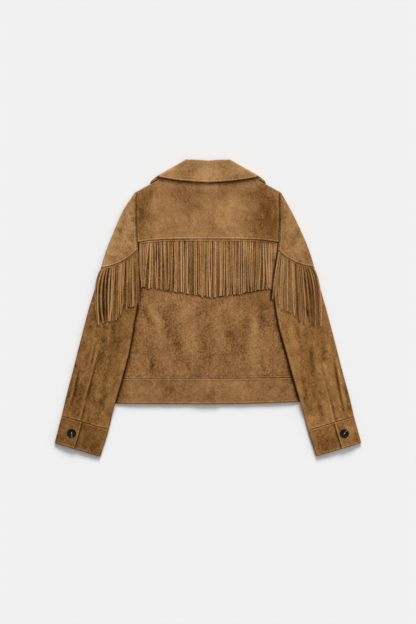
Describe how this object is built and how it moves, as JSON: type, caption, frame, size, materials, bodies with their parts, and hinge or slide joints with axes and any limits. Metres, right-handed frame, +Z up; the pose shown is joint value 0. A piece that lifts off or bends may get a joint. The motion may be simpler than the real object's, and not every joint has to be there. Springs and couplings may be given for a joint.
{
  "type": "fringed suede jacket",
  "caption": "Cropped tan suede jacket laid flat with its back up, fringe across the back yoke and both sleeves, shirt collar and buttoned cuffs.",
  "frame": {"origin": "middle of the bounding box, on the surface the jacket lies on", "axes": "+Z up from that surface, out of the wearer's back; +Y along the body towards the collar; +X to the wearer's right, along the longest extent cuff to cuff"},
  "size_m": [0.737, 0.7149, 0.0164],
  "materials": {
    "yoke_suede": "soft napped suede, matt",
    "back_suede": "soft napped suede, matt",
    "front_suede": "soft napped suede, matt",
    "band_suede": "soft napped suede, matt",
    "collar_suede": "soft napped suede, matt",
    "sleeve_suede": "soft napped suede, matt",
    "cuff_suede": "soft napped suede, matt",
    "fringe_suede": "soft napped suede, matt",
    "button_plastic": "black, polished"
  },
  "bodies": {
    "root": {"back_yoke": "yoke_suede", "back_centre": "back_suede", "back_side_left": "back_suede", "back_side_right": "back_suede", "front_left": "front_suede", "front_right": "front_suede", "waistband_back": "band_suede", "waistband_front_left": "band_suede", "waistband_front_right": "band_suede", "collar_leaf": "collar_suede", "collar_stand": "collar_suede", "sleeve_yoke_left": "yoke_suede", "sleeve_yoke_right": "yoke_suede", "sleeve_top_left": "sleeve_suede", "sleeve_top_right": "sleeve_suede", "sleeve_under_left": "sleeve_suede", "sleeve_under_right": "sleeve_suede", "cuff_left": "cuff_suede", "cuff_right": "cuff_suede", "fringe_back": "fringe_suede", "fringe_sleeve_left": "fringe_suede", "fringe_sleeve_right": "fringe_suede", "cuff_button_left": "button_plastic", "cuff_button_right": "button_plastic", "front_button_1": "button_plastic", "front_button_2": "button_plastic", "front_button_3": "button_plastic", "front_button_4": "button_plastic", "front_button_5": "button_plastic", "front_button_6": "button_plastic"}
  },
  "joints": []
}
